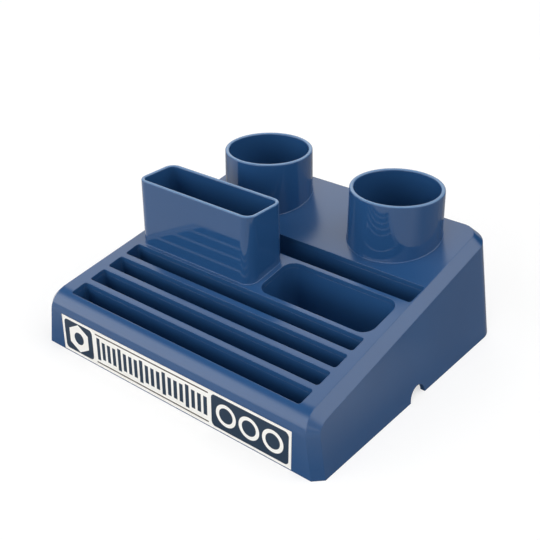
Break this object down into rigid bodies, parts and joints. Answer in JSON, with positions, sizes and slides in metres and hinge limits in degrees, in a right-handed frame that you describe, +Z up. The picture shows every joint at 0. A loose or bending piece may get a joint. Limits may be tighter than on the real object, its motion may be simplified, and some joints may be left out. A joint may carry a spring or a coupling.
{
  "type": "tool organiser",
  "caption": "Free-standing sloping bench organiser for hand tools, with long slots, a rounded pocket, a tall rectangular holder and round cups.",
  "frame": {"origin": "bottom centre of the whole organiser, on the surface that it stands on", "axes": "+X to the right seen from the front, +Y to the rear, +Z up"},
  "size_m": [0.18, 0.157, 0.0785],
  "materials": {
    "navy_plastic": "glossy moulded plastic",
    "label": "printed film"
  },
  "bodies": {
    "root": {"housing": "navy_plastic", "slot_tray": "navy_plastic", "pocket_well": "navy_plastic", "rear_trough": "navy_plastic", "tall_holder": "navy_plastic", "left_cup": "navy_plastic", "right_cup": "navy_plastic", "front_label": "label"}
  },
  "joints": []
}
